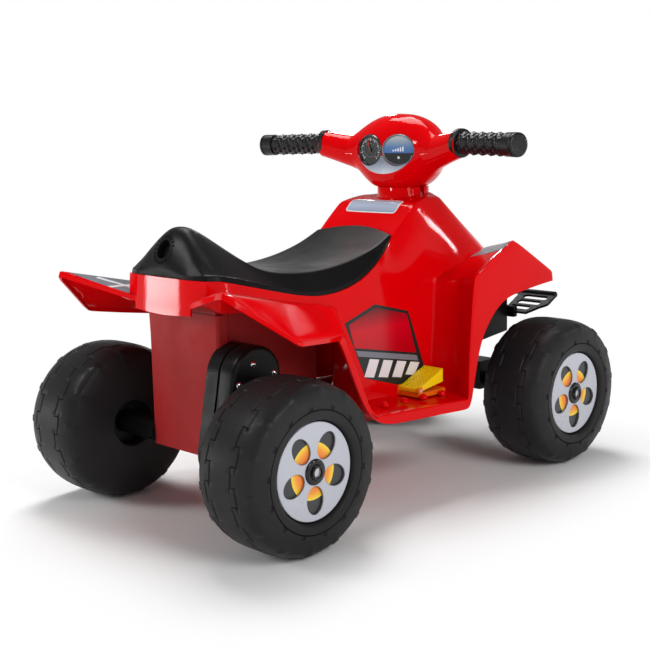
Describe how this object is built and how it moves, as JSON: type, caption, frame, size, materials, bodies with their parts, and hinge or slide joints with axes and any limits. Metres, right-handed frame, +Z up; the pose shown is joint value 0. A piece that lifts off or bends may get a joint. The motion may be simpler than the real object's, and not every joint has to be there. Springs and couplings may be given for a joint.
{
  "type": "kids quad bike",
  "caption": "Ride-on electric quad bike for small children: moulded body with saddle, steered front axle, hollow plastic wheels, geared rear drive and a foot pedal.",
  "frame": {"origin": "on the floor, midway between the two axles and on the middle plane", "axes": "+X forward, +Y to the rider's left, +Z up"},
  "size_m": [0.6646, 0.4482, 0.4605],
  "materials": {
    "body_red": "gloss moulded red",
    "tub_red": "matte moulded dark red",
    "seat_black": "grained black",
    "steel": "zinc plated",
    "plate_grey": "grey-blue printed sticker",
    "nylon_white": "natural nylon",
    "trim_black": "satin moulded black",
    "panel_silver": "silver-grey foil",
    "gauge_black": "printed dial",
    "gauge_blue": "printed dial",
    "grip_black": "soft ribbed",
    "motor_steel": "plated can",
    "battery_grey": "moulded case",
    "strap_black": "webbing",
    "wire_black": "insulated",
    "pedal_yellow": "moulded yellow",
    "pedal_orange": "moulded orange",
    "tyre_black": "blow-moulded black",
    "hubcap_silver": "silver foil",
    "cap_black": "gloss black"
  },
  "bodies": {
    "chassis": {"body_shell": "body_red", "steering_collar": "body_red", "foot_pegs": "body_red", "lower_body": "tub_red", "seat": "seat_black", "seat_screws": "steel", "bumper_screws": "steel", "gearbox_screws": "steel", "gear_pin": "steel", "rear_axle": "steel", "rear_axle_nuts": "steel", "pedal_pin": "steel", "pedal_spring": "steel", "dash_plate": "plate_grey", "column_bushes": "nylon_white", "front_cover": "trim_black", "front_bumper": "trim_black", "gearbox_inner_case": "trim_black", "gearbox_outer_case": "trim_black", "rear_axle_spacer": "trim_black", "pedal_switch": "trim_black", "motor": "motor_steel", "battery": "battery_grey", "battery_strap": "strap_black", "wiring_harness": "wire_black", "pedal_mount": "pedal_orange"},
    "steering": {"handlebar_rear_cover": "body_red", "handlebar_front_cover": "body_red", "handlebar_screws": "steel", "handlebar_tube": "steel", "bar_clamp": "trim_black", "gauge_panel": "panel_silver", "gauge_left": "gauge_black", "gauge_right": "gauge_blue", "grip_left": "grip_black", "grip_right": "grip_black", "steering_column": "steel", "steering_fork": "trim_black", "fork_bolt": "steel", "front_axle": "steel", "front_axle_nuts": "steel", "front_axle_spacers": "trim_black"},
    "wheel_front_left": {"tyre_front_left": "tyre_black", "hubcap_front_left": "hubcap_silver", "axle_cap_front_left": "cap_black"},
    "wheel_front_right": {"tyre_front_right": "tyre_black", "hubcap_front_right": "hubcap_silver", "axle_cap_front_right": "cap_black"},
    "wheel_rear_left": {"tyre_rear_left": "tyre_black", "hubcap_rear_left": "hubcap_silver", "axle_cap_rear_left": "cap_black"},
    "wheel_rear_right": {"tyre_rear_right": "tyre_black", "hubcap_rear_right": "hubcap_silver", "axle_cap_rear_right": "cap_black", "drive_gear": "nylon_white"},
    "idler": {"idler_gear": "nylon_white"},
    "pinion": {"motor_pinion": "nylon_white"},
    "pedal": {"pedal": "pedal_yellow"}
  },
  "joints": [
    {"name": "steering_turn", "type": "hinge", "parent": "chassis", "child": "steering", "pos_m": [0.2373, 0, 0.095], "axis": [-0.3762, 0, 0.9265], "range_deg": [-15, 15]},
    {"name": "wheel_front_left_spin", "type": "hinge", "parent": "steering", "child": "wheel_front_left", "pos_m": [0.2373, 0, 0.095], "axis": [0, 1, 0], "continuous": true},
    {"name": "wheel_front_right_spin", "type": "hinge", "parent": "steering", "child": "wheel_front_right", "pos_m": [0.2373, 0, 0.095], "axis": [0, 1, 0], "continuous": true},
    {"name": "wheel_rear_left_spin", "type": "hinge", "parent": "chassis", "child": "wheel_rear_left", "pos_m": [-0.2373, 0, 0.095], "axis": [0, 1, 0], "continuous": true},
    {"name": "wheel_rear_right_spin", "type": "hinge", "parent": "chassis", "child": "wheel_rear_right", "pos_m": [-0.2373, 0, 0.095], "axis": [0, 1, 0], "continuous": true},
    {"name": "idler_spin", "type": "hinge", "parent": "chassis", "child": "idler", "pos_m": [-0.23238, 0, 0.13822], "axis": [0, 1, 0], "continuous": true},
    {"name": "pinion_spin", "type": "hinge", "parent": "chassis", "child": "pinion", "pos_m": [-0.22762, 0, 0.17995], "axis": [0, 1, 0], "continuous": true},
    {"name": "pedal_press", "type": "hinge", "parent": "chassis", "child": "pedal", "pos_m": [0.0305, -0.098, 0.12103], "axis": [0, 1, 0], "range_deg": [0, 8], "stiffness_Nm_per_rad": 0.6, "springref_deg": -6.88, "deforming": ["pedal_spring"]}
  ],
  "couplings": [
    {"joint": "idler_spin", "follows": "wheel_rear_right_spin", "ratio": -3.1429},
    {"joint": "pinion_spin", "follows": "wheel_rear_right_spin", "ratio": 11.524}
  ]
}
